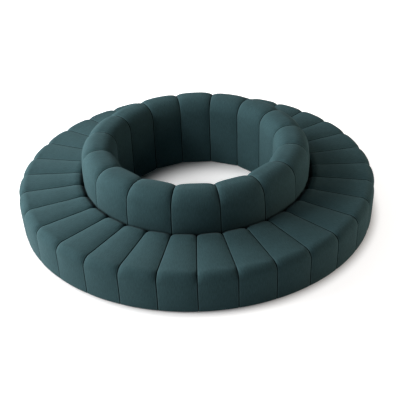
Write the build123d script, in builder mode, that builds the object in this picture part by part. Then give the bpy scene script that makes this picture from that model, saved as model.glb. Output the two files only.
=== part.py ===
from build123d import *
from math import atan, cos, degrees, radians, sin, sqrt, tan
import os

# A round modular sofa, sat on from the outside. Millimetres, +Z up, origin on the floor at the
# centre of the ring, front towards -Y. A seat seam lies on the front centre line.
os.makedirs("parts", exist_ok=True)

# Counts, read from the seams
module_count = 16
seat_slices_per_module = 2

# Main sizes, at the seams where the covers are drawn in; covers reach lower than base panels
seat_outer_radius = 1750
back_outer_radius = 1125
back_inner_radius = 802
seat_height = 376
back_height = 726
cover_gap = 4
floor_gap = 10

# Form of a seat slice
seat_top_crown = 17
seat_front_crown = 9
seat_edge_radius = 90
seat_rear_radius = 152
seat_rear_run = 93
seat_tuck_radius = 14

# Form of a back slice
back_lean = 26
back_top_crown = 20
back_outer_crown = 9
back_inner_crown = 7
back_seam_bulge = 3
back_face_bulge = 8
back_shoulder_radius = 136
back_face_start = 366
back_tuck_radius = 12

# Covers: fabric on a wadding layer, with the play they need
cover_wall = 8
soft_clearance = 0.3
slice_gap = 0.3

# Where the sections of a slice stand, as shares of its half angle, and how much crown each has
section_angle_shares = (-1, -0.94, -0.8, -0.45, 0, 0.45, 0.8, 0.94, 1)
section_crown_shares = (0, 0.4, 0.72, 0.94, 1, 0.94, 0.72, 0.4, 0)

# Base panels, which carry the slices
base_thickness = 18
base_gap = 0.4

# Plywood carcass of a seat slice
board_thickness = 15
deck_thickness = 12
seat_cushion_depth = 136
seat_front_setback = 26
seat_rear_foam = 24
seat_side_foam = 16
deck_vent_radius = 20
deck_vent_count = 3
deck_vent_spacing = 130
seat_rib_slot_length = 260
seat_rib_slot_height = 70

# Plywood carcass of a back slice
back_outer_foam = 46
back_inner_setback = 5
back_side_foam = 18
back_top_foam = 118
back_rib_slot_length = 300
back_rib_slot_width = 90
back_window_height = 260
back_window_width = 110
back_window_corner_radius = 28

# Screws that hold the slices on the base panels
slice_screw_radius = 2.5
slice_screw_head_radius = 5
slice_screw_head_height = 3
slice_screw_length = 45
screw_fit = 0.15
screw_tip_room = 2

# Glides
glide_radius = 16
glide_edge = 2
glide_pin_radius = 3
glide_pin_length = 12
glide_outer_radius = 1640
glide_inner_radius = 880
glide_side_angle = 6
glide_pin_room = 1

# Plates and screws that join neighbouring modules
plate_length = 90
plate_width = 40
plate_thickness = 3
plate_corner_radius = 6
plate_outer_radius = 1500
plate_inner_radius = 960
plate_hole_spacing = 56
joining_screw_radius = 4
joining_screw_head_radius = 7
joining_screw_head_height = 3.5
joining_screw_head_edge = 1
joining_screw_reach = 14
joining_screw_room = 1

# One overrun for every cut that leaves a solid
overrun = 40

# Angles worked out from the counts
full_turn = 360
module_angle = full_turn / module_count
seat_slice_count = module_count * seat_slices_per_module
seat_slice_angle = full_turn / seat_slice_count
front_angle = -90
seat_half_angle = seat_slice_angle / 2 - degrees(slice_gap / 2 / seat_outer_radius)
back_half_angle = module_angle / 2 - degrees(slice_gap / 2 / back_outer_radius)

# Heights and radii worked out from the sizes
base_top = floor_gap + base_thickness
base_outer_radius = seat_outer_radius - cover_wall - seat_tuck_radius
base_inner_radius = back_inner_radius + cover_wall + back_tuck_radius
seat_inner_radius = back_outer_radius + slice_gap
seat_mid_radius = (seat_inner_radius + seat_outer_radius) / 2
back_mid_radius = (back_inner_radius + back_outer_radius) / 2
back_flat = back_inner_radius * (1 - cos(radians(module_angle / 2)))


def radial_plane(angle):
    """Upright plane through the centre line: x runs outwards, y runs up."""
    return Plane.XZ.rotated((0, 0, angle))


def seat_section(angle, crown_share, inset):
    """Closed profile of a seat slice on one radial plane, drawn in by an inset on every side."""
    outer = seat_outer_radius + seat_front_crown * crown_share - inset
    foot = seat_outer_radius - inset
    inner = seat_inner_radius + inset
    top = seat_height + seat_top_crown * crown_share - inset
    bottom = cover_gap + inset
    edge = seat_edge_radius - inset
    tuck = seat_tuck_radius - inset
    rear = seat_rear_radius - inset
    rear_run = seat_rear_run - inset
    rear_shoulder = top - rear + sqrt(rear**2 - rear_run**2)
    with BuildSketch(radial_plane(angle)) as section:
        with BuildLine():
            floor_line = Line((inner, bottom), (foot - tuck, bottom))
            tuck_arc = RadiusArc(floor_line @ 1, (foot, bottom + tuck), -tuck)
            front_line = Line(tuck_arc @ 1, (outer, top - edge))
            edge_arc = RadiusArc(front_line @ 1, (outer - edge, top), -edge)
            top_line = Line(edge_arc @ 1, (inner + rear_run, top))
            rear_arc = RadiusArc(top_line @ 1, (inner, rear_shoulder), -rear)
            Line(rear_arc @ 1, floor_line @ 0)
        make_face()
    return section.sketch


def back_section(angle, crown_share, inset):
    """Closed profile of a back slice on one radial plane, drawn in by an inset on every side."""
    low_outer = back_outer_radius - inset
    high_outer = back_outer_radius - back_lean + back_outer_crown * crown_share - inset
    foot = back_inner_radius - back_flat * crown_share + inset
    high_inner = foot - back_inner_crown * crown_share
    top = back_height + back_top_crown * crown_share - inset
    bottom = cover_gap + inset
    shoulder = back_shoulder_radius - inset
    tuck = back_tuck_radius - inset
    bulge = back_seam_bulge + back_face_bulge * crown_share
    with BuildSketch(radial_plane(angle)) as section:
        with BuildLine():
            floor_line = Line((foot + tuck, bottom), (low_outer, bottom))
            hidden_line = Line(floor_line @ 1, (low_outer, back_face_start))
            face_arc = SagittaArc(hidden_line @ 1, (high_outer, top - shoulder), -bulge)
            outer_arc = RadiusArc(face_arc @ 1, (high_outer - shoulder, top), -shoulder)
            top_line = Line(outer_arc @ 1, (high_inner + shoulder, top))
            inner_arc = RadiusArc(top_line @ 1, (high_inner, top - shoulder), -shoulder)
            well_line = Line(inner_arc @ 1, (foot, bottom + tuck))
            RadiusArc(well_line @ 1, floor_line @ 0, -tuck)
        make_face()
    return section.sketch


def slice_sections(section, half_angle, inset):
    """The sections of one slice from seam to seam, ready to be lofted."""
    stations = zip(section_angle_shares, section_crown_shares)
    return [section(half_angle * where, crown, inset) for where, crown in stations]


def wedge(x_inner, x_outer, half_angle, side):
    """Plan of a tapered box between two straight ends, drawn in sideways by a board or a gap."""
    inner = x_inner * tan(radians(half_angle)) - side / cos(radians(half_angle))
    outer = x_outer * tan(radians(half_angle)) - side / cos(radians(half_angle))
    with BuildLine() as outline:
        Polyline((x_inner, -inner), (x_outer, -outer), (x_outer, outer), (x_inner, inner), close=True)
    return outline.line


def underside(height):
    """Plane that looks down from a height, so that holes are drilled upwards."""
    return Plane(origin=(0, 0, height), x_dir=(1, 0, 0), z_dir=(0, 0, -1))


# Space that the base panels take up under the slices
with BuildPart() as base_recess:
    with BuildSketch(Plane.XY.offset(floor_gap - overrun)):
        Circle(base_outer_radius + soft_clearance)
        Circle(base_inner_radius - soft_clearance, mode=Mode.SUBTRACT)
    extrude(amount=overrun + base_thickness + soft_clearance)

# Carcass of a seat slice, drawn round its own centre line along +X
seat_carcass_outer = base_outer_radius * cos(radians(seat_slice_angle / 2)) - seat_front_setback
seat_carcass_inner = seat_inner_radius + cover_wall + seat_rear_foam
seat_carcass_side = cover_wall + seat_side_foam
seat_carcass_angle = seat_slice_angle / 2 - degrees(seat_carcass_side / seat_carcass_inner)
seat_carcass_middle = (seat_carcass_inner + seat_carcass_outer) / 2
seat_deck_top = seat_height - seat_cushion_depth
seat_deck_bottom = seat_deck_top - deck_thickness
seat_carcass_height = seat_deck_bottom - base_top
seat_screw_places = (
    (seat_carcass_inner + board_thickness / 2, 0),
    (seat_carcass_outer - board_thickness / 2, 0),
)

# Carcass of a back slice, round the same centre line
back_carcass_outer = back_outer_radius - back_lean - cover_wall - back_outer_foam
back_carcass_inner = base_inner_radius + back_inner_setback
back_carcass_side = cover_wall + back_side_foam
back_carcass_angle = module_angle / 2 - degrees(back_carcass_side / back_carcass_inner)
back_carcass_top = back_height - back_top_foam
back_board_top = back_carcass_top - board_thickness
back_carcass_height = back_board_top - base_top
back_screw_places = (
    (back_carcass_inner + board_thickness / 2, 0),
    (back_carcass_outer - board_thickness / 2, 0),
)

# Bite of a slice screw into the board above the base panel
slice_screw_bite = slice_screw_length - base_thickness


def rib_pair(inner, outer, half_angle, height, slot_length, slot_width, slot_turn):
    """Two boards along the sides of a carcass, with a slot to lighten them."""
    with BuildPart() as ribs:
        with BuildSketch(Plane.XY.offset(base_top)):
            make_face(wedge(inner, outer, half_angle, 0))
            make_face(wedge(inner, outer, half_angle, board_thickness), mode=Mode.SUBTRACT)
        extrude(amount=height)
        with BuildSketch(Plane.XZ):
            with Locations(((inner + outer) / 2, base_top + height / 2)):
                SlotOverall(slot_length, slot_width, rotation=slot_turn)
        extrude(amount=outer, both=True, mode=Mode.SUBTRACT)
    return ribs.part


def board_pair(inner, outer, half_angle, height, screw_places):
    """Boards across the two ends of a carcass, drilled from below for the slice screws."""
    with BuildPart() as boards:
        with BuildSketch(Plane.XY.offset(base_top)):
            make_face(wedge(inner, inner + board_thickness, half_angle, board_thickness))
            make_face(wedge(outer - board_thickness, outer, half_angle, board_thickness))
        extrude(amount=height)
        with Locations(underside(base_top)):
            with Locations(*screw_places):
                Hole(slice_screw_radius + screw_fit, slice_screw_bite + screw_tip_room)
    return boards.part


def foam_block(section, cavity_angle, mid_radius, carcass, carcass_top):
    """Foam that fills a cover, stands on the base panel and goes over a carcass."""
    foam_angle = cavity_angle - degrees(soft_clearance / mid_radius)
    inner, outer, carcass_angle = carcass
    with BuildPart() as foam:
        loft(slice_sections(section, foam_angle, cover_wall + soft_clearance))
        add(base_recess.part, mode=Mode.SUBTRACT)
        with BuildSketch(Plane.XY.offset(floor_gap)):
            room = wedge(inner - soft_clearance, outer + soft_clearance, carcass_angle, -soft_clearance)
            make_face(room)
        extrude(amount=carcass_top + soft_clearance - floor_gap, mode=Mode.SUBTRACT)
    return foam.part


def cover_shell(section, half_angle, mid_radius):
    """Crowned shell of one slice, open underneath where it stands on the base panel."""
    cavity_angle = half_angle - degrees(cover_wall / mid_radius)
    with BuildPart() as shell:
        loft(slice_sections(section, half_angle, 0))
        loft(slice_sections(section, cavity_angle, cover_wall), mode=Mode.SUBTRACT)
        add(base_recess.part, mode=Mode.SUBTRACT)
    return shell.part


# Covers and foam of one seat slice and one back slice, round the +X centre line
seat_cover = cover_shell(seat_section, seat_half_angle, seat_mid_radius)
back_cover = cover_shell(back_section, back_half_angle, back_mid_radius)
seat_carcass = (seat_carcass_inner, seat_carcass_outer, seat_carcass_angle)
back_carcass = (back_carcass_inner, back_carcass_outer, back_carcass_angle)
seat_cavity_angle = seat_half_angle - degrees(cover_wall / seat_mid_radius)
back_cavity_angle = back_half_angle - degrees(cover_wall / back_mid_radius)
seat_foam = foam_block(seat_section, seat_cavity_angle, seat_mid_radius, seat_carcass, seat_deck_top)
back_foam = foam_block(back_section, back_cavity_angle, back_mid_radius, back_carcass, back_carcass_top)

# Plywood of one seat slice
seat_rib_pair = rib_pair(
    *seat_carcass, seat_carcass_height, seat_rib_slot_length, seat_rib_slot_height, 0
)
seat_board_pair = board_pair(*seat_carcass, seat_carcass_height, seat_screw_places)
with BuildPart() as seat_deck:
    with BuildSketch(Plane.XY.offset(seat_deck_bottom)):
        make_face(wedge(*seat_carcass, 0))
        with Locations((seat_carcass_middle, 0)):
            with GridLocations(deck_vent_spacing, 0, deck_vent_count, 1):
                Circle(deck_vent_radius, mode=Mode.SUBTRACT)
    extrude(amount=deck_thickness)

# Plywood of one back slice, whose inner and outer boards have a window and whose top is closed
back_rib_pair = rib_pair(
    *back_carcass, back_carcass_height, back_rib_slot_length, back_rib_slot_width, 90
)
with BuildPart() as back_board_set:
    add(board_pair(*back_carcass, back_carcass_height, back_screw_places))
    with BuildSketch(Plane.YZ):
        with Locations((0, base_top + back_carcass_height / 2)):
            RectangleRounded(back_window_width, back_window_height, back_window_corner_radius)
    extrude(amount=back_outer_radius, mode=Mode.SUBTRACT)
    with BuildSketch(Plane.XY.offset(back_board_top)):
        make_face(wedge(*back_carcass, 0))
    extrude(amount=board_thickness)

# Slice screw, with its head at the bottom
with BuildPart() as slice_screw:
    with BuildSketch(Plane.XZ):
        with BuildLine():
            Polyline(
                (0, floor_gap),
                (slice_screw_head_radius, floor_gap),
                (slice_screw_radius, floor_gap + slice_screw_head_height),
                (slice_screw_radius, floor_gap + slice_screw_length - slice_screw_radius),
                (0, floor_gap + slice_screw_length),
                close=True,
            )
        make_face()
    revolve(axis=Axis.Z)

# Glide: a round foot with a pin that goes into the base panel
with BuildPart() as glide:
    with BuildSketch():
        Circle(glide_radius)
    extrude(amount=floor_gap)
    chamfer(glide.edges().group_by(Axis.Z)[0], glide_edge)
    with BuildSketch(Plane.XY.offset(floor_gap)):
        Circle(glide_pin_radius)
    extrude(amount=glide_pin_length)

# Joining plate, with its long side across the joint between two modules
with BuildPart() as joining_plate:
    with BuildSketch(Plane.XY.offset(floor_gap - plate_thickness)):
        RectangleRounded(plate_width, plate_length, plate_corner_radius)
        with GridLocations(0, plate_hole_spacing, 1, 2):
            Circle(joining_screw_radius + screw_fit, mode=Mode.SUBTRACT)
    extrude(amount=plate_thickness)

# Button head screw of a joining plate
with BuildPart() as joining_screw:
    with BuildSketch(Plane.XY.offset(floor_gap - plate_thickness)):
        Circle(joining_screw_head_radius)
    extrude(amount=-joining_screw_head_height)
    chamfer(joining_screw.edges().group_by(Axis.Z)[0], joining_screw_head_edge)
    with BuildSketch(Plane.XY.offset(floor_gap - plate_thickness)):
        Circle(joining_screw_radius)
    extrude(amount=plate_thickness + joining_screw_reach)


def turned(place, angle):
    """A place in plan, turned about the centre of the ring."""
    x, y = place
    turn = radians(angle)
    return (x * cos(turn) - y * sin(turn), x * sin(turn) + y * cos(turn))


# Places of holes in one base panel, whose centre line runs along +X
seat_turns = [
    (number - (seat_slices_per_module - 1) / 2) * seat_slice_angle
    for number in range(seat_slices_per_module)
]
slice_screw_places = list(back_screw_places) + [
    turned(place, turn) for turn in seat_turns for place in seat_screw_places
]
glide_places = [
    turned((radius, 0), turn)
    for radius in (glide_inner_radius, glide_outer_radius)
    for turn in (-glide_side_angle, glide_side_angle)
]
plate_radii = (plate_inner_radius, plate_outer_radius)
joining_screw_places = [
    turned((radius, -side * plate_hole_spacing / 2), side * module_angle / 2)
    for radius in plate_radii
    for side in (-1, 1)
]

# Base panel of one module
base_half_angle = module_angle / 2 - degrees(base_gap / 2 / base_inner_radius)
sink_width = slice_screw_head_radius - slice_screw_radius
sink_angle = 2 * degrees(atan(sink_width / slice_screw_head_height))
with BuildPart() as base_panel:
    with BuildSketch(Plane.XY.offset(floor_gap)):
        with BuildLine():
            rim = CenterArc((0, 0), base_outer_radius, -base_half_angle, 2 * base_half_angle)
            well = CenterArc((0, 0), base_inner_radius, -base_half_angle, 2 * base_half_angle)
            Line(rim @ 0, well @ 0)
            Line(rim @ 1, well @ 1)
        make_face()
    extrude(amount=base_thickness)
    with Locations(underside(floor_gap)):
        with Locations(*slice_screw_places):
            CounterSinkHole(
                slice_screw_radius + screw_fit,
                slice_screw_head_radius + screw_fit,
                base_thickness,
                sink_angle,
            )
        with Locations(*glide_places):
            Hole(glide_pin_radius + screw_fit, glide_pin_length + glide_pin_room)
        with Locations(*joining_screw_places):
            Hole(joining_screw_radius + screw_fit, joining_screw_reach + joining_screw_room)


def write_piece(part, name):
    """Label a finished piece and write it to its own file."""
    part.label = name
    export_step(part, f"parts/{name}.step")


def ring(piece, count, start_angle):
    """Copies of one piece all the way round the sofa."""
    with BuildPart() as copies:
        with PolarLocations(0, count, start_angle=start_angle):
            add(piece, clean=False)
    return copies.part


# Seat slices lie half a slice off the front centre line, and modules lie on it
first_seat_angle = front_angle + seat_slice_angle / 2
for number in range(seat_slice_count):
    with BuildPart() as placed_seat_cover:
        with PolarLocations(0, 1, start_angle=first_seat_angle + number * seat_slice_angle):
            add(seat_cover, clean=False)
    write_piece(placed_seat_cover.part, f"seat_cover_{number + 1:02d}")

for number in range(module_count):
    with BuildPart() as placed_back_cover:
        with PolarLocations(0, 1, start_angle=front_angle + number * module_angle):
            add(back_cover, clean=False)
    write_piece(placed_back_cover.part, f"back_cover_{number + 1:02d}")

write_piece(ring(seat_foam, seat_slice_count, first_seat_angle), "seat_foam_cores")
write_piece(ring(seat_rib_pair, seat_slice_count, first_seat_angle), "seat_ribs")
write_piece(ring(seat_board_pair, seat_slice_count, first_seat_angle), "seat_cross_boards")
write_piece(ring(seat_deck.part, seat_slice_count, first_seat_angle), "seat_decks")
write_piece(ring(back_foam, module_count, front_angle), "back_foam_cores")
write_piece(ring(back_rib_pair, module_count, front_angle), "back_ribs")
write_piece(ring(back_board_set.part, module_count, front_angle), "back_cross_boards")
write_piece(ring(base_panel.part, module_count, front_angle), "base_panels")

# Small parts under the base panels
with BuildPart() as module_screws:
    with Locations(*slice_screw_places):
        add(slice_screw.part)
write_piece(ring(module_screws.part, module_count, front_angle), "slice_screws")

with BuildPart() as module_glides:
    with Locations(*glide_places):
        add(glide.part)
write_piece(ring(module_glides.part, module_count, front_angle), "glides")

joint_angle = front_angle + module_angle / 2
with BuildPart() as joining_plates:
    for radius in plate_radii:
        with PolarLocations(radius, module_count, start_angle=joint_angle):
            add(joining_plate.part, clean=False)
write_piece(joining_plates.part, "joining_plates")

with BuildPart() as joining_screws:
    for radius in plate_radii:
        with PolarLocations(radius, module_count, start_angle=joint_angle):
            with GridLocations(0, plate_hole_spacing, 1, 2):
                add(joining_screw.part, clean=False)
write_piece(joining_screws.part, "joining_screws")
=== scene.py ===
# %% [markdown]
# # A round modular sofa
# The sofa is a ring of 32 narrow seat slices round a taller ring of 16 backrest slices, with an
# open well in the middle. Every slice is its own upholstered pad, and the dark lines between them
# are the places where two covers are drawn in against each other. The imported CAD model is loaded
# first and stays where it is. This lesson dresses it: each cover gets a soft form and a fabric.

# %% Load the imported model
import math
import random

import bmesh
import bpy
from mathutils import Matrix, Quaternion, Vector, noise


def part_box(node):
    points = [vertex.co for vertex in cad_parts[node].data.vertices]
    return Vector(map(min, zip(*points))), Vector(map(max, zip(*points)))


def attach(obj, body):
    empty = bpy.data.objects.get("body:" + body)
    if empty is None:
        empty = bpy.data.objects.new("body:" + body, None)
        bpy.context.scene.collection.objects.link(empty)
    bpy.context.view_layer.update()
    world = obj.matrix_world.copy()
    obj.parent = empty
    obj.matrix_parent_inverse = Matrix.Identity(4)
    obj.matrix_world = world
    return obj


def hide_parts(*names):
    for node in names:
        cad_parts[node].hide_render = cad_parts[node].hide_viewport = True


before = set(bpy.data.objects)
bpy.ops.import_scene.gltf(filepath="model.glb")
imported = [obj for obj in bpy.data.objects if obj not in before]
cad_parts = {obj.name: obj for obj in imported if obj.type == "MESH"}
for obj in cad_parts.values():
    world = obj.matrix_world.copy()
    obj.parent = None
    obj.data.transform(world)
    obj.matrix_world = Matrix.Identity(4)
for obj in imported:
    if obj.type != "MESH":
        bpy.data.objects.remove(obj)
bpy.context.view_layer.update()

# %% [markdown]
# ## Camera
# The photograph was taken from a little above, with a fairly long lens. Camera angles can be found
# by eye, or worked out from lines whose real places are known. Here the seams were such lines: the
# sofa is round, so its ellipses give the height of the camera, its distance and its slight roll.

# %% Camera at the photograph's viewing angle
camera_target = Vector((0.033, -0.407, 0.2625))
camera_distance = 7.462
camera_azimuth = math.radians(0.748)
camera_elevation = math.radians(32.664)
camera_roll = math.radians(-2.385)
sensor_width = 36
lens_length = 69.39

level = math.cos(camera_elevation)
look = Vector((-math.sin(camera_azimuth) * level, math.cos(camera_azimuth) * level,
               -math.sin(camera_elevation)))
camera_data = bpy.data.cameras.new("camera")
camera_data.sensor_width = sensor_width
camera_data.lens = lens_length
camera = bpy.data.objects.new("camera", camera_data)
bpy.context.scene.collection.objects.link(camera)
camera.rotation_mode = "QUATERNION"
camera.rotation_quaternion = (look.to_track_quat("-Z", "Y")
                              @ Quaternion((0, 0, 1), camera_roll))
camera.location = camera_target - look * camera_distance
bpy.context.scene.camera = camera
print("camera stands at", [round(value, 3) for value in camera.location])

# %% [markdown]
# ## Sizes
# A new piece has to sit exactly where its CAD solid sits, so whatever the frame can tell is read
# from it: how high the covers hang above the floor, the panel that they close over, and how high
# the crowns reach. The rest are the few sizes that give a slice its outline.

# %% Sizes shared by all slices, in metres
panel_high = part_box("base_panels")[1]
cover_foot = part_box("seat_cover_01")[0].z
panel_clearance = 0.0003
recess_height = panel_high.z + panel_clearance
recess_outer_radius = panel_high.x + panel_clearance
seam_gap = 0.0003
crease_gap = 0.005
seam_roll = 0.007
seam_roll_segments = 4
merge_distance = 0.001
rim_merge_distance = 0.0008
shown_spacing = 0.016
hidden_spacing = 0.06
front_angle = math.radians(-90)
mm = 1000
print("covers hang", round(cover_foot * mm, 1), "mm above the floor")

# %% Outline of a seat slice
seat_count = 32
seat_top_crown = 0.017
seat_front_crown = 0.012
seat_outer_radius = 1.750
seat_inner_radius = 1.1253 + crease_gap
seat_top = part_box("seat_cover_01")[1].z - seat_top_crown
seat_edge_radius = 0.090
seat_tuck_radius = 0.014
seat_rear_run = 0.093 - crease_gap
seat_rear_drop = 0.031
seat_rear_corner = 0.0518
seat_crease_radius = 0.014
seat_half_angle = math.pi / seat_count - seam_gap / 2 / seat_outer_radius
print("seat slice: seam height", round(seat_top, 4), "half angle", round(seat_half_angle, 5))

# %% Outline of a back slice
back_count = 16
back_top_crown = 0.020
back_outer_crown = 0.009
back_inner_crown = 0.007
back_outer_radius = 1.125 - crease_gap
back_inner_radius = 0.802
back_lean = 0.026 - crease_gap
back_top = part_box("back_cover_01")[1].z - back_top_crown
back_shoulder_radius = 0.136
back_tuck_radius = 0.012
back_face_start = 0.366
back_seam_bulge = 0.003
back_face_bulge = 0.008
back_foot_width = 0.008
recess_inner_radius = back_inner_radius + back_tuck_radius + back_foot_width - panel_clearance
back_half_angle = math.pi / back_count - seam_gap / 2 / back_outer_radius
print("back slice: seam height", round(back_top, 4), "half angle", round(back_half_angle, 5))

# %% [markdown]
# ## How a slice is made
# An upholsterer pulls a cover over foam and stitches it down at both sides of the slice. In mesh
# terms that is one outline, swept through the angle of a slice. The outline starts as a flat face
# with sharp corners, and a vertex bevel rounds each corner. Long edges are then divided, so that
# the cloth has enough points to bend. A spin sweeps it round the centre of the sofa.


# %% Helper: rounded outline
def rounded_outline(corners, rounds, is_hidden):
    """Flat face on the XZ plane with some corners rounded and its long edges divided."""
    sheet = bmesh.new()
    points = [sheet.verts.new((x, 0, z)) for x, z in corners]
    sheet.faces.new(points)
    for number, (offset, segments) in rounds.items():
        bmesh.ops.bevel(sheet, geom=[points[number]], offset=offset, offset_type="OFFSET",
                        segments=segments, profile=0.5, affect="VERTICES", material=-1)
    bmesh.ops.remove_doubles(sheet, verts=sheet.verts, dist=merge_distance)
    for edge in list(sheet.edges):
        middle = (edge.verts[0].co + edge.verts[1].co) / 2
        spacing = hidden_spacing if is_hidden(middle.x, middle.z) else shown_spacing
        cuts = int(edge.calc_length() / spacing)
        if cuts:
            bmesh.ops.subdivide_edges(sheet, edges=[edge], cuts=cuts)
    return sheet


# %% Helper: the way along an outline
def outline_track(sheet):
    """The outline's points in order as (x, z, way along), from its first corner."""
    sheet.faces.ensure_lookup_table()
    track = []
    way = 0.0
    for loop in sheet.faces[0].loops:
        track.append((loop.vert.co.x, loop.vert.co.z, way))
        way += loop.edge.calc_length()
    return track


# %% Helper: sweep an outline into a closed slice
def swept_slice(sheet, half_angle, steps):
    """Spin the outline about the centre line of the ring. The first and last faces close it."""
    start = Matrix.Rotation(-half_angle, 3, "Z")
    bmesh.ops.rotate(sheet, verts=sheet.verts, cent=(0, 0, 0), matrix=start)
    bmesh.ops.spin(sheet, geom=sheet.verts[:] + sheet.edges[:] + sheet.faces[:], cent=(0, 0, 0),
                   axis=(0, 0, 1), angle=2 * half_angle, steps=steps, use_merge=False,
                   use_duplicate=False)
    bmesh.ops.recalc_face_normals(sheet, faces=sheet.faces)


# %% [markdown]
# ## Seams
# Where two covers meet, the cloth rolls over into the joint. A line drawn in the material alone
# would look painted on, so the roll is real geometry: the rim of each slice gets a round bevel, and
# two neighbours together make a narrow groove that goes dark by itself. The fabric adds painted
# shade deep in the groove and a painted highlight beside it. Only the rim that can be seen is
# rolled.
# The parts against the floor panel and the hidden wall stay sharp.


# %% Helper: roll the rims
def roll_rims(body, is_rim_shown):
    """Round bevel on the edges between the swept surface and the two end faces."""
    ends = [face for face in body.faces if len(face.verts) > 4]
    rims = []
    for face in ends:
        for edge in face.edges:
            places = [(math.hypot(vert.co.x, vert.co.y), vert.co.z) for vert in edge.verts]
            if all(is_rim_shown(radius, height) for radius, height in places):
                rims.append(edge)
    bmesh.ops.bevel(body, geom=rims, offset=seam_roll, offset_type="OFFSET",
                    segments=seam_roll_segments, profile=0.5, affect="EDGES", material=-1)
    bmesh.ops.remove_doubles(body, verts=body.verts, dist=rim_merge_distance)
    return len(rims)


# %% Helper: where a point lies on its slice
def place_on_slice(point, half_angle, track):
    """Radius, height, share of the half angle from -1 to 1, and way along the outline."""
    radius = math.hypot(point.x, point.y)
    across = math.atan2(point.y, point.x) / half_angle
    nearest = min(track, key=lambda spot: (spot[0] - radius) ** 2 + (spot[1] - point.z) ** 2)
    return radius, point.z, max(-1.0, min(1.0, across)), nearest[2]


# %% [markdown]
# ## Crown
# A stuffed slice is highest along its middle and drops towards its seams, slowly at first and
# fast at the end. One curve describes that drop across the slice for the top, the front and the
# back alike. Only how far each surface is lifted differs.


# %% Helper: fullness across a slice
slow_drop_share = 0.5
slow_drop_power = 3
fast_drop_power = 9


def fullness(across):
    """1 along the middle of a slice and 0 at its seams."""
    side = abs(across)
    slow = slow_drop_share * side**slow_drop_power
    fast = (1 - slow_drop_share) * side**fast_drop_power
    return 1 - slow - fast


def share_between(value, start, end):
    """0 at start and 1 at end, held at both ends."""
    return max(0.0, min(1.0, (value - start) / (end - start)))


def ramp(value, start, end):
    """Smooth step from 0 at start to 1 at end."""
    share = share_between(value, start, end)
    return share * share * (3 - 2 * share)


# %% Helper: crown of a seat slice
settled_share = 0.85
seat_rear_crown = 0.016
seat_rear_start = 1.30
seat_foot_share = 0.35
seat_knee_lift = 0.007
seat_knee_shift = 0.007
seat_knee_width = 0.03
seat_knee_rise = 0.06


def seat_crown(radius, height, across):
    """How far a point of a seat slice is lifted, outwards and upwards."""
    tuck_top = cover_foot + seat_tuck_radius
    edge_foot = seat_top - seat_edge_radius
    edge_start = seat_outer_radius - seat_edge_radius
    up = share_between(height, tuck_top, edge_foot)
    out = share_between(radius, seat_rear_start, edge_start) * ramp(height, cover_foot, tuck_top)
    rise = seat_foot_share + (1 - seat_foot_share) * up
    rear = seat_rear_crown * ramp(radius, seat_rear_start, seat_inner_radius)
    knee = seat_knee_lift * ramp(radius, edge_start - seat_knee_width, edge_start + seat_knee_width)
    front = seat_front_crown * rise
    front += seat_knee_shift * ramp(height, edge_foot, edge_foot + seat_knee_rise)
    full = fullness(across) * settled_share
    return front * out * full, (seat_top_crown + rear + knee) * up * full


# %% Helper: crown of a back slice
back_knee_lift = 0.006
back_knee_shift = 0.008
back_knee_rise = 0.10


def back_crown(radius, height, across):
    """How far a point of a back slice is lifted, outwards and upwards."""
    shoulder_foot = back_top - back_shoulder_radius
    full = fullness(across) * settled_share
    face = share_between(height, back_face_start, shoulder_foot)
    bulge = (back_seam_bulge + back_face_bulge * full) * math.sin(math.pi * face)
    knee = back_knee_shift * ramp(height, shoulder_foot, shoulder_foot + back_knee_rise)
    outer_shift = (back_outer_crown * face + knee) * full + bulge
    chord = back_inner_radius * (1 - math.cos(back_half_angle) / math.cos(across * back_half_angle))
    held = share_between(radius, recess_inner_radius, back_inner_radius + back_tuck_radius)
    if height > cover_foot + back_tuck_radius:
        held = 1.0
    inner_shift = -(chord + back_inner_crown * full) * held
    side = share_between(radius, back_inner_radius + back_shoulder_radius,
                         back_outer_radius - back_lean - back_shoulder_radius)
    on_underside = height < recess_height + merge_distance
    if on_underside and radius > back_inner_radius + 2 * back_tuck_radius:
        side = 1.0
    up = share_between(height, cover_foot + back_tuck_radius, shoulder_foot)
    lift = (back_top_crown + back_knee_lift * side) * up * full
    return inner_shift * (1 - side) + outer_shift * side, lift


# %% Helper: lift a slice to its crown
def crown_slice(body, half_angle, track, crown):
    """Move every point of the swept surface out by the crown of its place."""
    for vert in body.verts:
        radius, height, across, way = place_on_slice(vert.co, half_angle, track)
        shift, lift = crown(radius, height, across)
        outward = Vector((vert.co.x, vert.co.y, 0)).normalized()
        vert.co += outward * shift + Vector((0, 0, lift))
    bmesh.ops.recalc_face_normals(body, faces=body.faces)


# %% [markdown]
# ## Cloth
# The crown above is only a guess at how fabric lies over foam. Pressing the mesh out from inside
# with a cloth simulation settles it: the fabric hangs between its seams as real cloth does. The
# seams, the floor side and the hidden wall are pinned, gravity is off because the foam carries
# the cover, and each point is kept within a few millimetres so that the pad stays taut.

# %% Helper: press a cover out from inside
cloth_frames = 20
cloth_pressure = 4
cloth_reach = 0.005
cloth_mass = 0.3
cloth_quality = 6


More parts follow.
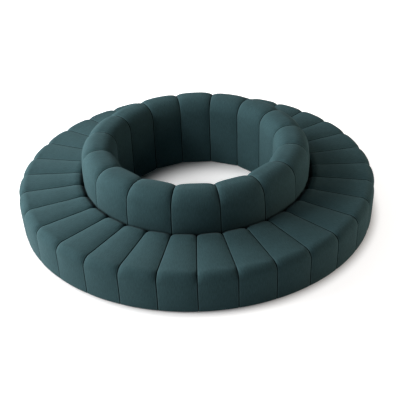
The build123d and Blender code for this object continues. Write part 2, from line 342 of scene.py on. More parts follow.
def press_out(mesh, pinned):
    """How far each point is pushed along its normal by a short cloth simulation."""
    pad = bpy.data.objects.new("cloth_trial", mesh.copy())
    bpy.context.scene.collection.objects.link(pad)
    seams = pad.vertex_groups.new(name="seams")
    seams.add(pinned, 1.0, "REPLACE")
    cloth = pad.modifiers.new("cloth", "CLOTH")
    cloth.settings.vertex_group_mass = seams.name
    cloth.settings.use_pressure = True
    cloth.settings.uniform_pressure_force = cloth_pressure
    cloth.settings.mass = cloth_mass
    cloth.settings.quality = cloth_quality
    cloth.settings.effector_weights.gravity = 0
    cloth.collision_settings.use_collision = False
    cloth.point_cache.frame_start = 1
    cloth.point_cache.frame_end = cloth_frames
    for number in range(1, cloth_frames + 1):
        bpy.context.scene.frame_set(number)
    pressed = pad.evaluated_get(bpy.context.evaluated_depsgraph_get()).to_mesh()
    pushes = []
    for before, after in zip(mesh.vertices, pressed.vertices):
        push = (after.co - before.co).dot(before.normal)
        pushes.append(cloth_reach * math.tanh(push / cloth_reach))
    bpy.context.scene.frame_set(1)
    bpy.data.objects.remove(pad)
    return pushes


# %% [markdown]
# ## Two patterns
# The seat slice is a wide low block: flat on top, well rounded at the front where the knees bend,
# and dipping at the rear where it presses against the backrest. The back slice is upright, with a
# full round top and a slight lean. Each outline is a list of corners, and a second list says how
# far each corner is rounded. Parts that nobody sees get long edges, to save faces for the rest.

# %% Seat slice: outline, sweep and seams
def seat_is_hidden(radius, height):
    """The floor side and the wall against the backrest."""
    return height < recess_height + merge_distance or radius < seat_inner_radius + merge_distance


def seat_rim_is_shown(radius, height):
    """The rim from the foot at the front, over the top, to the dip against the backrest."""
    return radius > recess_outer_radius + merge_distance or height > seat_top - 2 * seat_rear_run


seat_corners = (
    (seat_inner_radius, recess_height),
    (recess_outer_radius, recess_height),
    (recess_outer_radius, cover_foot),
    (seat_outer_radius, cover_foot),
    (seat_outer_radius, seat_top),
    (seat_inner_radius + seat_rear_run - seat_rear_corner, seat_top),
    (seat_inner_radius, seat_top - seat_rear_drop),
)
seat_rounds = {
    3: (seat_tuck_radius, 4),
    4: (seat_edge_radius, 9),
    5: (seat_rear_corner, 7),
    6: (seat_crease_radius, 3),
}
seat_steps = 14
seat_body = rounded_outline(seat_corners, seat_rounds, seat_is_hidden)
seat_track = outline_track(seat_body)
swept_slice(seat_body, seat_half_angle, seat_steps)
seat_rim_edges = roll_rims(seat_body, seat_rim_is_shown)
print("seat slice:", len(seat_track), "outline points,", seat_rim_edges, "rim edges,",
      len(seat_body.faces), "faces")

# %% Back slice: outline, sweep and seams
back_hidden_top = 0.25


def back_is_hidden(radius, height):
    """The floor side and the wall against the seats."""
    low = height < recess_height + merge_distance
    return low or (radius > back_outer_radius - merge_distance and height < back_face_start)


def back_rim_is_shown(radius, height):
    """The rim from the foot in the well, over the top, to the dip against the seats."""
    well_side = radius < recess_inner_radius - merge_distance
    return well_side or height > back_hidden_top


back_corners = (
    (back_outer_radius, recess_height),
    (back_outer_radius, back_face_start),
    (back_outer_radius - back_lean, back_top),
    (back_inner_radius, back_top),
    (back_inner_radius, cover_foot),
    (recess_inner_radius, cover_foot),
    (recess_inner_radius, recess_height),
)
back_rounds = {
    2: (back_shoulder_radius, 12),
    3: (back_shoulder_radius, 12),
    4: (back_tuck_radius, 4),
}
back_steps = 22
back_body = rounded_outline(back_corners, back_rounds, back_is_hidden)
back_track = outline_track(back_body)
swept_slice(back_body, back_half_angle, back_steps)
back_rim_edges = roll_rims(back_body, back_rim_is_shown)
print("back slice:", len(back_track), "outline points,", back_rim_edges, "rim edges,",
      len(back_body.faces), "faces")

# %% [markdown]
# ## One master for each kind
# Settling cloth takes time, so it is done once for a seat slice and once for a back slice. The
# master keeps each point's place at the seams and how far crown and cloth lift it from there.
# With the two apart, every copy can later be stuffed a little more or a little less.


# %% Helper: a master slice with its cloth settled
def master_slice(name, body, half_angle, track, crown, is_hidden, rim_width):
    """The slice at its seams, and how far each of its points is lifted by crown and cloth."""
    flat = [vert.co.copy() for vert in body.verts]
    places = [place_on_slice(point, half_angle, track) for point in flat]
    crown_slice(body, half_angle, track, crown)
    mesh = bpy.data.meshes.new(name)
    body.to_mesh(mesh)
    body.free()
    pinned = []
    for number, (radius, height, across, way) in enumerate(places):
        from_seam = (1 - abs(across)) * half_angle * radius
        if from_seam < rim_width or is_hidden(radius, height):
            pinned.append(number)
    pushes = press_out(mesh, pinned)
    for vert, push in zip(mesh.vertices, pushes):
        vert.co += vert.normal * push
    mean_push = sum(pushes) / len(pushes)
    print(name, "cloth moved its points by up to", round(max(pushes) * mm, 1), "mm, on average",
          round(mean_push * mm, 1), "mm")
    lifts = [vert.co - before for vert, before in zip(mesh.vertices, flat)]
    return mesh, flat, lifts, places


# %% Masters of the seat and back slices
seat_master = master_slice("seat_master", seat_body, seat_half_angle, seat_track, seat_crown,
                           seat_is_hidden, seam_roll)
back_master = master_slice("back_master", back_body, back_half_angle, back_track, back_crown,
                           back_is_hidden, seam_roll)
print("master points:", len(seat_master[1]), "for a seat and", len(back_master[1]), "for a back")

# %% [markdown]
# ## Materials
# A material is a tree of small nodes, and writing one out link by link gets long. Two helpers keep
# it short: one adds a node with its settings and its inputs, the other starts a group. A group is
# an effect that is built once and then used in many materials, each time with its own numbers.

# %% Helper: nodes
def add_node(tree, kind, inputs=None, **settings):
    """A node with its settings, and with numbers or links put into its inputs by name."""
    node = tree.nodes.new(kind)
    for name, value in settings.items():
        setattr(node, name, value)
    for name, value in (inputs or {}).items():
        if isinstance(value, bpy.types.NodeSocket):
            tree.links.new(value, node.inputs[name])
        else:
            node.inputs[name].default_value = value
    return node


def new_group(name, inputs, outputs):
    """An empty shader group with named sockets."""
    group = bpy.data.node_groups.new(name, "ShaderNodeTree")
    for socket_name, kind, value in inputs:
        socket = group.interface.new_socket(socket_name, in_out="INPUT", socket_type=kind)
        if value is not None:
            socket.default_value = value
    for socket_name, kind in outputs:
        group.interface.new_socket(socket_name, in_out="OUTPUT", socket_type=kind)
    return group, group.nodes.new("NodeGroupInput"), group.nodes.new("NodeGroupOutput")


# %% [markdown]
# ## Uneven colour
# Nothing real is one even colour. Cloth takes up dye unevenly, foam yellows and zinc clouds. All of
# these are a soft noise that makes the colour a little lighter or darker, so one group serves them
# all. Its mask goes out too, for materials whose gloss or bump follows the same clouds.

# %% Shared effect: colour drift
drift_group, drift_in, drift_out = new_group(
    "colour_drift",
    [("Vector", "NodeSocketVector", None), ("Colour", "NodeSocketColor", (0.5, 0.5, 0.5, 1)),
     ("Scale", "NodeSocketFloat", 4.0), ("Amount", "NodeSocketFloat", 0.1)],
    [("Colour", "NodeSocketColor"), ("Mask", "NodeSocketFloat")],
)
drift_noise = add_node(drift_group, "ShaderNodeTexNoise",
                       {"Vector": drift_in.outputs["Vector"], "Scale": drift_in.outputs["Scale"],
                        "Detail": 4.0, "Roughness": 0.6})
drift_centre = add_node(drift_group, "ShaderNodeMath",
                        {0: drift_noise.outputs["Fac"], 1: 0.5}, operation="SUBTRACT")
drift_amount = add_node(drift_group, "ShaderNodeMath",
                        {0: drift_centre.outputs[0], 1: drift_in.outputs["Amount"]},
                        operation="MULTIPLY")
drift_value = add_node(drift_group, "ShaderNodeMath", {0: drift_amount.outputs[0], 1: 1.0},
                       operation="ADD")
drift_colour = add_node(drift_group, "ShaderNodeHueSaturation",
                        {"Color": drift_in.outputs["Colour"], "Value": drift_value.outputs[0]})
drift_group.links.new(drift_colour.outputs["Color"], drift_out.inputs["Colour"])
drift_group.links.new(drift_noise.outputs["Fac"], drift_out.inputs["Mask"])
print("shader group", drift_group.name, "has", len(drift_group.nodes), "nodes")


# %% Helper: colour drift in a material
def add_drift(tree, vector, colour, scale, amount):
    """The shared drift, laid over a colour."""
    return add_node(tree, "ShaderNodeGroup", {"Vector": vector, "Colour": colour, "Scale": scale,
                                              "Amount": amount}, node_tree=drift_group)


# %% [markdown]
# ## Weave
# Two sets of bands at right angles, multiplied, stand up where a warp thread crosses a weft
# thread. That is enough for a plain weave seen from near by. The threads follow the cloth and not
# the room, so the vector that goes in is the cover's own UV map, which is laid out in metres.

# %% Shared effect: woven threads
wave_period = 2 * math.pi / 20
weave_group, weave_in, weave_out = new_group(
    "woven_threads",
    [("Vector", "NodeSocketVector", None), ("Pitch", "NodeSocketFloat", 0.0014)],
    [("Height", "NodeSocketFloat")],
)
weave_scale = add_node(weave_group, "ShaderNodeMath",
                       {0: wave_period, 1: weave_in.outputs["Pitch"]}, operation="DIVIDE")
warp_threads = add_node(weave_group, "ShaderNodeTexWave",
                        {"Vector": weave_in.outputs["Vector"], "Scale": weave_scale.outputs[0],
                         "Distortion": 1.5, "Detail": 1.0},
                        wave_type="BANDS", bands_direction="X")
weft_threads = add_node(weave_group, "ShaderNodeTexWave",
                        {"Vector": weave_in.outputs["Vector"], "Scale": weave_scale.outputs[0],
                         "Distortion": 1.5, "Detail": 1.0},
                        wave_type="BANDS", bands_direction="Y")
weave_cross = add_node(weave_group, "ShaderNodeMath",
                       {0: warp_threads.outputs["Fac"], 1: weft_threads.outputs["Fac"]},
                       operation="MULTIPLY")
weave_group.links.new(weave_cross.outputs[0], weave_out.inputs["Height"])
print("shader group", weave_group.name, "has", len(weave_group.nodes), "nodes")


# %% Helper: start a material
def new_material(name, roughness, metallic=0.0):
    """A material with a Principled shader and its tree, ready for a pattern."""
    material = bpy.data.materials.new(name)
    material.use_nodes = True
    tree = material.node_tree
    shader = tree.nodes["Principled BSDF"]
    shader.inputs["Roughness"].default_value = roughness
    shader.inputs["Metallic"].default_value = metallic
    return material, tree, shader


# %% [markdown]
# ## Cover fabric
# The cover is a smooth wool cloth in dark teal. Up close it is a fine weave of slightly mixed
# yarns, and from a step away it looks like felt: no shine, a soft light edge where it turns away,
# and faint streaks along the slice where a yarn was spun thicker. Three layers of uneven colour
# give clouds over the whole sofa, streaks and mixed fibres. Close to a seam, and in the crease
# between seat and back, the colour is darkened as painted shade for the groove. Beside that dark
# line runs a narrow paler band, a painted highlight along the roll of cloth.

# %% Cover fabric: nap and mixed yarns
fabric_colour = (0.0400, 0.0830, 0.0920, 1)
fabric_roughness = 0.9
nap_tint = (0.55, 0.75, 0.78, 1)
nap_sheen = 0.06
nap_roughness = 0.6
nap_gloss = 0.03
fabric_cloud_scale = 7.0
fabric_cloud_amount = 0.22
slub_stretch = (130, 22, 1)
slub_amount = 0.8
fibre_scale = 900.0
fibre_amount = 0.9

fabric, fabric_tree, fabric_shader = new_material("teal_wool", fabric_roughness)
fabric_shader.inputs["Sheen Weight"].default_value = nap_sheen
fabric_shader.inputs["Sheen Roughness"].default_value = nap_roughness
fabric_shader.inputs["Sheen Tint"].default_value = nap_tint
fabric_shader.inputs["Specular IOR Level"].default_value = nap_gloss
fabric_uv = add_node(fabric_tree, "ShaderNodeUVMap", uv_map="cloth")
fabric_place = add_node(fabric_tree, "ShaderNodeTexCoord")
fabric_clouds = add_drift(fabric_tree, fabric_place.outputs["Object"], fabric_colour,
                          fabric_cloud_scale, fabric_cloud_amount)
fabric_stretch = add_node(fabric_tree, "ShaderNodeMapping",
                          {"Vector": fabric_uv.outputs["UV"], "Scale": slub_stretch})
fabric_slub = add_drift(fabric_tree, fabric_stretch.outputs["Vector"],
                        fabric_clouds.outputs["Colour"], 1.0, slub_amount)
fabric_melange = add_drift(fabric_tree, fabric_place.outputs["Object"],
                           fabric_slub.outputs["Colour"], fibre_scale, fibre_amount)
print("fabric's mean colour", fabric_colour[:3], "and streaks", slub_stretch, "to the metre")

# %% Cover fabric: seams
# Painted shade: the colour goes near black deep in each seam and in the crease, fading out over a
# few millimetres.
painted_seam_shade_colour = (0.002, 0.005, 0.006, 1)
seam_dark_width = 0.0022
seam_shade_width = 0.0062
# Painted highlight: a paler band beside each seam's painted shade, along the roll of cloth.
painted_highlight_colour = (0.100, 0.180, 0.195, 1)
painted_highlight_width = 0.013
painted_highlight_share = 0.32
fabric_seam = add_node(fabric_tree, "ShaderNodeAttribute", attribute_name="seam_distance")
painted_seam_shade_mask = add_node(fabric_tree, "ShaderNodeMapRange",
                            {"Value": fabric_seam.outputs["Fac"], "From Min": seam_dark_width,
                             "From Max": seam_shade_width, "To Min": 1.0, "To Max": 0.0})
fabric_rim = add_node(fabric_tree, "ShaderNodeAttribute", attribute_name="rim_distance")
painted_highlight_mask = add_node(fabric_tree, "ShaderNodeMapRange",
                           {"Value": fabric_rim.outputs["Fac"], "From Min": seam_shade_width,
                            "From Max": painted_highlight_width, "To Min": painted_highlight_share, "To Max": 0.0})
fabric_painted_highlight = add_node(fabric_tree, "ShaderNodeMix",
                         {"Factor": painted_highlight_mask.outputs["Result"],
                          "A": fabric_melange.outputs["Colour"], "B": painted_highlight_colour},
                         data_type="RGBA")
fabric_mix = add_node(fabric_tree, "ShaderNodeMix",
                      {"Factor": painted_seam_shade_mask.outputs["Result"],
                       "A": fabric_painted_highlight.outputs["Result"], "B": painted_seam_shade_colour},
                      data_type="RGBA")
fabric_tree.links.new(fabric_mix.outputs["Result"], fabric_shader.inputs["Base Color"])
# The paler band reported here is a painted highlight.
print("seams are dark for", seam_dark_width * mm, "mm and rubbed up to", painted_highlight_width * mm, "mm")

# %% Cover fabric: threads
thread_pitch = 0.0013
thread_height = 0.0004
thread_strength = 0.4
fabric_weave = add_node(fabric_tree, "ShaderNodeGroup",
                        {"Vector": fabric_uv.outputs["UV"], "Pitch": thread_pitch},
                        node_tree=weave_group)
fabric_bump = add_node(fabric_tree, "ShaderNodeBump",
                       {"Height": fabric_weave.outputs["Height"], "Strength": thread_strength,
                        "Distance": thread_height})
fabric_tree.links.new(fabric_bump.outputs["Normal"], fabric_shader.inputs["Normal"])
print("material", fabric.name, "has", len(fabric_tree.nodes), "nodes")

# %% [markdown]
# ## Plywood
# The slices stand on birch plywood. A board shows two patterns: long grain on its broad faces and
# thin stacked plies along its cut edges. Grain is noise that has been stretched along the board.
# The panels lie in a ring, so the noise reads the radius and the way round the ring instead of
# plain X and Y, and the grain then runs outwards in every panel. Boards and panels share the
# grain as a group, and only the lying panels add the plies.

# %% Shared effect: wood grain
grain_ring_radius = 1.3
grain_along = 2.5
grain_across = 45.0
grain_group, grain_in, grain_out = new_group(
    "wood_grain",
    [("Vector", "NodeSocketVector", None), ("Light", "NodeSocketColor", (0.5, 0.5, 0.5, 1)),
     ("Dark", "NodeSocketColor", (0.4, 0.4, 0.4, 1))],
    [("Colour", "NodeSocketColor"), ("Mask", "NodeSocketFloat")],
)
grain_axes = add_node(grain_group, "ShaderNodeSeparateXYZ", {"Vector": grain_in.outputs["Vector"]})
grain_plan = add_node(grain_group, "ShaderNodeCombineXYZ",
                      {"X": grain_axes.outputs["X"], "Y": grain_axes.outputs["Y"]})
grain_radius = add_node(grain_group, "ShaderNodeVectorMath", {0: grain_plan.outputs["Vector"]},
                        operation="LENGTH")
grain_turn = add_node(grain_group, "ShaderNodeMath",
                      {0: grain_axes.outputs["Y"], 1: grain_axes.outputs["X"]},
                      operation="ARCTAN2")
grain_way = add_node(grain_group, "ShaderNodeMath",
                     {0: grain_turn.outputs[0], 1: grain_ring_radius}, operation="MULTIPLY")
grain_place = add_node(grain_group, "ShaderNodeCombineXYZ",
                       {"X": grain_radius.outputs["Value"], "Y": grain_way.outputs[0],
                        "Z": grain_axes.outputs["Z"]})
grain_stretch = add_node(grain_group, "ShaderNodeMapping",
                         {"Vector": grain_place.outputs["Vector"],
                          "Scale": (grain_along, grain_across, grain_across)})
grain_noise = add_node(grain_group, "ShaderNodeTexNoise",
                       {"Vector": grain_stretch.outputs["Vector"], "Scale": 1.0, "Detail": 6.0,
                        "Roughness": 0.65, "Distortion": 0.4})
grain_mix = add_node(grain_group, "ShaderNodeMix",
                     {"Factor": grain_noise.outputs["Fac"], "A": grain_in.outputs["Light"],
                      "B": grain_in.outputs["Dark"]}, data_type="RGBA")
grain_group.links.new(grain_mix.outputs["Result"], grain_out.inputs["Colour"])
grain_group.links.new(grain_noise.outputs["Fac"], grain_out.inputs["Mask"])
print("shader group", grain_group.name, "has", len(grain_group.nodes), "nodes")

# %% Plywood of boards and of panels
birch_light = (0.66, 0.48, 0.29, 1)
birch_dark = (0.44, 0.28, 0.15, 1)
ply_edge_colour = (0.30, 0.17, 0.09, 1)
ply_thickness = 0.0014


def birch_material(name):
    """Oiled birch with grain in its colour, its roughness and its bump."""
    material, tree, shader = new_material(name, 0.6)
    place = add_node(tree, "ShaderNodeTexCoord")
    grain = add_node(tree, "ShaderNodeGroup", {"Vector": place.outputs["Object"],
                                               "Light": birch_light, "Dark": birch_dark},
                     node_tree=grain_group)
    rough = add_node(tree, "ShaderNodeMapRange",
                     {"Value": grain.outputs["Mask"], "To Min": 0.48, "To Max": 0.72})
    bump = add_node(tree, "ShaderNodeBump",
                    {"Height": grain.outputs["Mask"], "Strength": 0.25, "Distance": 0.0006})
    tree.links.new(grain.outputs["Colour"], shader.inputs["Base Color"])
    tree.links.new(rough.outputs["Result"], shader.inputs["Roughness"])
    tree.links.new(bump.outputs["Normal"], shader.inputs["Normal"])
    return material, tree, shader, place, grain


board_birch = birch_material("birch_board")[0]
panel_birch, panel_tree, panel_shader, panel_place, panel_grain = birch_material("birch_panel")
ply_scale = wave_period / ply_thickness
ply_bands = add_node(panel_tree, "ShaderNodeTexWave",
                     {"Vector": panel_place.outputs["Object"], "Scale": ply_scale,
                      "Distortion": 0.3}, wave_type="BANDS", bands_direction="Z")
panel_geometry = add_node(panel_tree, "ShaderNodeNewGeometry")
panel_normal = add_node(panel_tree, "ShaderNodeSeparateXYZ",
                        {"Vector": panel_geometry.outputs["True Normal"]})
panel_flatness = add_node(panel_tree, "ShaderNodeMath", {0: panel_normal.outputs["Z"]},
                          operation="ABSOLUTE")
panel_edge = add_node(panel_tree, "ShaderNodeMath", {0: 1.0, 1: panel_flatness.outputs[0]},
                      operation="SUBTRACT")
ply_mask = add_node(panel_tree, "ShaderNodeMath",
                    {0: ply_bands.outputs["Fac"], 1: panel_edge.outputs[0]},
                    operation="MULTIPLY")
ply_mix = add_node(panel_tree, "ShaderNodeMix",
                   {"Factor": ply_mask.outputs[0], "A": panel_grain.outputs["Colour"],
                    "B": ply_edge_colour}, data_type="RGBA")
panel_tree.links.new(ply_mix.outputs["Result"], panel_shader.inputs["Base Color"])
print("materials", board_birch.name, "and", panel_birch.name)

# %% [markdown]
# ## Foam
# The cores are cut from pale open-cell foam. Its surface is full of tiny holes, which a cell
# pattern gives: each cell is darkened in its middle as painted shade inside the hole, and the walls
# between cells stand up. The same colour drift as in the fabric makes the foam a little yellower in
# places, as it ages.

# %% Foam
foam_colour = (0.72, 0.66, 0.48, 1)
foam_cell = 0.0022
foam_cell_depth = 0.001
foam_cloud_scale = 9.0
foam_cloud_amount = 0.3
foam, foam_tree, foam_shader = new_material("open_cell_foam", 0.95)
foam_place = add_node(foam_tree, "ShaderNodeTexCoord")
foam_drift = add_drift(foam_tree, foam_place.outputs["Object"], foam_colour, foam_cloud_scale,
                       foam_cloud_amount)
foam_cells = add_node(foam_tree, "ShaderNodeTexVoronoi",
                      {"Vector": foam_place.outputs["Object"], "Scale": 1 / foam_cell})
# Painted shade inside each hole: the colour is darkened towards the middle of a cell.
foam_hole_painted_shade = add_node(foam_tree, "ShaderNodeMapRange",
                     {"Value": foam_cells.outputs["Distance"], "From Max": 0.5, "To Min": 0.45,
                      "To Max": 1.0})
foam_mix = add_node(foam_tree, "ShaderNodeMix",
                    {"Factor": 1.0, "A": foam_drift.outputs["Colour"],
                     "B": foam_hole_painted_shade.outputs["Result"]}, data_type="RGBA", blend_type="MULTIPLY")
foam_bump = add_node(foam_tree, "ShaderNodeBump",
                     {"Height": foam_cells.outputs["Distance"], "Strength": 0.5,
                      "Distance": foam_cell_depth})
foam_tree.links.new(foam_mix.outputs["Result"], foam_shader.inputs["Base Color"])
foam_tree.links.new(foam_bump.outputs["Normal"], foam_shader.inputs["Normal"])
print("material", foam.name, "has cells of", foam_cell * mm, "mm")

# %% [markdown]
# ## Steel and plastic
# Joining plates and screws are zinc-plated steel, and the glides are black moulded plastic. A
# metal gets its look from uneven roughness more than from colour, so the drift mask goes into
# roughness. The plastic is grained like the inside of its mould, with paler scuffs.

# %% Zinc-plated steel and glide plastic
zinc_colour = (0.60, 0.61, 0.62, 1)
glide_colour = (0.022, 0.022, 0.023, 1)


def drifting_material(name, colour, scale, amount, rough_low, rough_high, metallic, bump_depth):
    """A plain hard material whose colour, roughness and bump all follow one drift."""
    material, tree, shader = new_material(name, rough_high, metallic)
    place = add_node(tree, "ShaderNodeTexCoord")
    drift = add_drift(tree, place.outputs["Object"], colour, scale, amount)
    rough = add_node(tree, "ShaderNodeMapRange",
                     {"Value": drift.outputs["Mask"], "From Min": 0.3, "From Max": 0.7,
                      "To Min": rough_low, "To Max": rough_high})
    bump = add_node(tree, "ShaderNodeBump",
                    {"Height": drift.outputs["Mask"], "Strength": 0.3, "Distance": bump_depth})
    tree.links.new(drift.outputs["Colour"], shader.inputs["Base Color"])
    tree.links.new(rough.outputs["Result"], shader.inputs["Roughness"])
    tree.links.new(bump.outputs["Normal"], shader.inputs["Normal"])
    return material


zinc = drifting_material("zinc_steel", zinc_colour, 140.0, 0.25, 0.28, 0.5, 1.0, 0.0001)
glide_plastic = drifting_material("glide_plastic", glide_colour, 320.0, 0.8, 0.4, 0.65, 0.0,
                                  0.0002)
print("materials", zinc.name, "and", glide_plastic.name)

# %% [markdown]
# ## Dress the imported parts
# The parts that stay as they came from CAD only need a material in the slots that they already
# have. Their shape and place are left alone. The covers' own slots get the fabric as well.

# %% Give every CAD node its material
node_materials = {
    "base_panels": panel_birch,
    "seat_decks": panel_birch,
    "seat_ribs": board_birch,
    "seat_cross_boards": board_birch,
    "back_ribs": board_birch,
    "back_cross_boards": board_birch,
    "seat_foam_cores": foam,
    "back_foam_cores": foam,
    "slice_screws": zinc,
    "joining_plates": zinc,
    "joining_screws": zinc,
    "glides": glide_plastic,
}
for name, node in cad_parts.items():
    for place in node.material_slots:
        place.material = node_materials.get(name, fabric)
print("CAD nodes with a material of their own:", len(node_materials))

# %% [markdown]
# ## The ring of slices
# All slices of a kind are cut from one pattern, but no two are stuffed quite alike. Each copy of
# the master gets its own fullness and a very gentle unevenness, from a seeded random source so
# that the sofa comes out the same each time. A seam strays a little too, and both its neighbours
# follow it, so that the joint stays closed. Last, the copy is turned to its place in the ring, in
# its mesh and not by its object, which stays at the middle of the sofa.

# %% Helper: one slice in its place
fullness_spread = 0.07
uneven_height = 0.0012
uneven_scale = 5.0
wander_width = 0.0015
wander_scale = 3.5
seat_kind = 1
back_kind = 2
kind_stride = 1000
slice_noise_stride = 5.7
kind_noise_stride = 40
seam_noise_stride = 7.3
wander_kind_stride = 3.1
flat_power = 4
back_middle_radius = (back_inner_radius + back_outer_radius) / 2
# How far the seams' painted shade spreads into the crease between seat and back.
seat_crease_painted_shade_share = 0.15
back_crease_painted_shade_share = 0.24


def seam_wander(kind, seam, way):
    """How far a seam strays sideways at a place along it. Both its neighbours ask for the same."""
    return wander_width * noise.noise(
        Vector((way * wander_scale, seam * seam_noise_stride, kind * wander_kind_stride)))


def from_crease(kind, radius, height):
    """How near a point is to the dip between seat and back, scaled so that the seam's painted shade
    also darkens that crease.
    """
    if kind == seat_kind:
        return seat_crease_painted_shade_share * (radius - seat_inner_radius)
    if radius < back_middle_radius:
        return math.inf
    return back_crease_painted_shade_share * max(0.0, height - seat_top + seat_rear_drop)


def place_slice(name, node, master, kind, number, count, half_angle, angle):
    """Copy a master slice, vary it a little, turn it into place and dress it."""
    mesh, flat, lifts, places = master
    draw = random.Random(kind_stride * kind + number)
    full = 1 + draw.uniform(-fullness_spread, fullness_spread)
    body = bmesh.new()
    body.from_mesh(mesh)
    body.verts.ensure_lookup_table()
    distance_layer = body.verts.layers.float.new("seam_distance")
    rim_layer = body.verts.layers.float.new("rim_distance")
    for vert, start, lift, (radius, height, across, way) in zip(body.verts, flat, lifts, places):
        layer = number * slice_noise_stride + kind * kind_noise_stride
        spot = Vector((way * uneven_scale, across, layer))
        uneven = uneven_height * noise.noise(spot) * (1 - across**flat_power)
        near_seam = number if across < 0 else (number + 1) % count
        sideways = seam_wander(kind, near_seam, way) * across * across
        outward = Vector((start.x, start.y, 0)).normalized()
        tangent = Vector((-outward.y, outward.x, 0))
        direction = lift.normalized() if lift.length > 0 else outward
        vert.co = start + lift * full + direction * uneven + tangent * sideways
        from_side = (1 - abs(across)) * half_angle * radius
        # Distance from the side seam, which places the fabric's painted highlight band.
        vert[rim_layer] = from_side
        # Distance to the nearest seam or crease, which sets the fabric's painted shade.
        vert[distance_layer] = min(from_side, from_crease(kind, radius, height))
    cloth_uv = body.loops.layers.uv.new("cloth")
    for face in body.faces:
        for loop in face.loops:
            radius, height, across, way = places[loop.vert.index]
            loop[cloth_uv].uv = (across * half_angle * radius, way)
        face.smooth = True
    turn = Matrix.Rotation(angle, 3, "Z")
    bmesh.ops.rotate(body, verts=body.verts, cent=(0, 0, 0), matrix=turn)
    placed = bpy.data.meshes.new(name)
    body.to_mesh(placed)
    body.free()
    placed.materials.append(fabric)
    piece = bpy.data.objects.new(name, placed)
    bpy.context.scene.collection.objects.link(piece)
    smooth = piece.modifiers.new("smooth", "SUBSURF")
    smooth.levels = 1
    smooth.render_levels = 1
    smooth.use_limit_surface = False
    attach(piece, "root")
    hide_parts(node)
    return piece


# %% Seat slices
seat_slices = []
for number in range(seat_count):
    angle = front_angle + (number + 0.5) * 2 * math.pi / seat_count
    seat_slices.append(place_slice(f"seat_slice_{number + 1:02d}", f"seat_cover_{number + 1:02d}",
                                   seat_master, seat_kind, number, seat_count, seat_half_angle,
                                   angle))
print("seat slices:", len(seat_slices), "of", len(seat_slices[0].data.polygons), "faces each")

# %% Back slices
back_slices = []
for number in range(back_count):
    angle = front_angle + number * 2 * math.pi / back_count
    back_slices.append(place_slice(f"back_slice_{number + 1:02d}", f"back_cover_{number + 1:02d}",
                                   back_master, back_kind, number, back_count, back_half_angle,
                                   angle))
print("back slices:", len(back_slices), "of", len(back_slices[0].data.polygons), "faces each")

# %% [markdown]
# ## Floor
# A studio floor is so pale and so evenly lit that a camera sees plain white, with only a narrow
# dark line where the sofa meets it. Here the floor is an ordinary matt surface that takes the real
# shadows, and on top of them it glows for rays that come straight from the camera. The glow fades
# out under the sofa's foot, which paints a contact shadow there. In the well it paints a pool of
# light, off centre, that fades towards the well's wall as painted shade.


# %% Helper: rays that see a pale studio
def add_seen(tree):
    """1 for rays from the camera, and for those that come to it by way of metal or glass."""
    path = add_node(tree, "ShaderNodeLightPath")
    mirrored = add_node(tree, "ShaderNodeMath", {0: path.outputs["Is Camera Ray"],
                                                 1: path.outputs["Is Glossy Ray"]},
                        operation="MAXIMUM")
    through = add_node(tree, "ShaderNodeMath", {0: mirrored.outputs[0],
                                                1: path.outputs["Is Transmission Ray"]},
                       operation="MAXIMUM")
    return through.outputs[0]


# %% Floor surface
floor_size = 60
floor_cells = 8
floor_colour = (0.80, 0.79, 0.79, 1)
floor_body = bmesh.new()
bmesh.ops.create_grid(floor_body, x_segments=floor_cells, y_segments=floor_cells,
                      size=floor_size / 2)
floor_mesh = bpy.data.meshes.new("floor")
floor_body.to_mesh(floor_mesh)
floor_body.free()
floor = bpy.data.objects.new("floor", floor_mesh)
bpy.context.scene.collection.objects.link(floor)
floor_material, floor_tree, floor_shader = new_material("floor", 0.9)
floor_shader.inputs["Base Color"].default_value = floor_colour
floor_shader.inputs["Specular IOR Level"].default_value = 0.1
floor_mesh.materials.append(floor_material)
print("floor is", floor_size, "m wide")

# %% Floor glow
open_glow = 0.80
well_glow = 0.62
well_light_pool_centre = (0.16, -0.13, 0)
contact_shadow_inside_edge = 0.06
contact_shadow_outside_edge = 0.12
well_glow_start = 0.57
well_glow_end = 0.98


def glow_ring(centre, start, end, low, high):
    """Glow that changes smoothly from low to high between two distances from a centre."""
    place = add_node(floor_tree, "ShaderNodeVectorMath",
                     {0: floor_place.outputs["Object"], 1: centre}, operation="DISTANCE")
    return add_node(floor_tree, "ShaderNodeMapRange",
                    {"Value": place.outputs["Value"], "From Min": start, "From Max": end,
                     "To Min": low, "To Max": high}, interpolation_type="SMOOTHSTEP")


floor_place = add_node(floor_tree, "ShaderNodeTexCoord")
# Painted contact shadow: the glow fades to nothing at the sofa's foot.
outer_glow_and_contact_shadow = glow_ring((0, 0, 0), seat_outer_radius - contact_shadow_inside_edge,
                       seat_outer_radius + contact_shadow_outside_edge, 0.0, open_glow)
# Painted pool of light in the well, off centre, fading to painted shade at the wall.
well_painted_light_pool = glow_ring(well_light_pool_centre, well_glow_start, well_glow_end, well_glow, 0.0)
floor_glow = add_node(floor_tree, "ShaderNodeMath",
                      {0: outer_glow_and_contact_shadow.outputs["Result"], 1: well_painted_light_pool.outputs["Result"]},
                      operation="MAXIMUM")
floor_strength = add_node(floor_tree, "ShaderNodeMath",
                          {0: add_seen(floor_tree), 1: floor_glow.outputs[0]},
                          operation="MULTIPLY")
floor_shader.inputs["Emission Color"].default_value = (1, 1, 1, 1)
floor_tree.links.new(floor_strength.outputs[0], floor_shader.inputs["Emission Strength"])
print("floor glow", open_glow, "outside and", well_glow, "in the well")

# %% [markdown]
# ## Light
# The fabric is brightest on the left and falls off evenly to the right, with soft edges
# everywhere. That is what a wide window on the left does, helped by a smaller lamp at the front
# left and a pale wall behind both. A faint lamp from the right keeps the far edge from going
# black. Each lamp is placed by the way it comes from: round the sofa, up from the floor, and how
# far away.


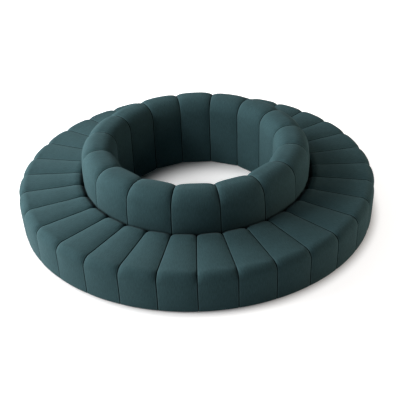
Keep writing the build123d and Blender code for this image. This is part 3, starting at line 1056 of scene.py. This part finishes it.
# %% Helper: a soft box
def soft_box(name, size, around, up, distance, power):
    """A square lamp that looks at the middle of the sofa, and that the camera doesn't see."""
    lamp_data = bpy.data.lights.new(name, "AREA")
    lamp_data.shape = "SQUARE"
    lamp_data.size = size
    lamp_data.energy = power
    around = math.radians(around)
    up = math.radians(up)
    away = Vector((math.cos(around) * math.cos(up), math.sin(around) * math.cos(up),
                   math.sin(up)))
    lamp = bpy.data.objects.new(name, lamp_data)
    lamp.location = light_centre + away * distance
    lamp.rotation_euler = (-away).to_track_quat("-Z", "Y").to_euler()
    lamp.visible_camera = False
    bpy.context.scene.collection.objects.link(lamp)
    return lamp


# %% Soft boxes
light_centre = Vector((0, 0, 0.35))
edge_light_colour = (1.0, 0.86, 0.74)
lamps = [
    soft_box("window", size=7.0, around=150, up=20, distance=10.0, power=1178),
    soft_box("front_box", size=2.4, around=195, up=30, distance=7.5, power=319),
    soft_box("edge_box", size=2.4, around=0, up=12, distance=6.0, power=115),
]
lamps[-1].data.color = edge_light_colour
print("soft boxes:", len(lamps), "with", sum(lamp.data.energy for lamp in lamps), "W in all")

# %% The room's own light
room_glow = 0.0
wall_glow = 1.06
world = bpy.data.worlds.new("studio")
bpy.context.scene.world = world
world.use_nodes = True
world_tree = world.node_tree
world_tree.nodes.clear()
world_way = add_node(world_tree, "ShaderNodeTexCoord")
world_axes = add_node(world_tree, "ShaderNodeSeparateXYZ",
                      {"Vector": world_way.outputs["Generated"]})
world_wall = add_node(world_tree, "ShaderNodeMapRange",
                      {"Value": world_axes.outputs["X"], "From Min": 0.0, "From Max": -1.0,
                       "To Min": room_glow, "To Max": wall_glow})
world_glow = add_node(world_tree, "ShaderNodeBackground",
                      {"Color": (1, 1, 1, 1), "Strength": world_wall.outputs["Result"]})
world_white = add_node(world_tree, "ShaderNodeBackground",
                       {"Color": (1, 1, 1, 1), "Strength": 1.0})
world_mix = add_node(world_tree, "ShaderNodeMixShader",
                     {"Fac": add_seen(world_tree), 1: world_glow.outputs[0],
                      2: world_white.outputs[0]})
add_node(world_tree, "ShaderNodeOutputWorld", {"Surface": world_mix.outputs[0]})
bpy.context.scene.view_settings.view_transform = "Standard"
print("wall glow", wall_glow, "on the left,", room_glow, "on the right")
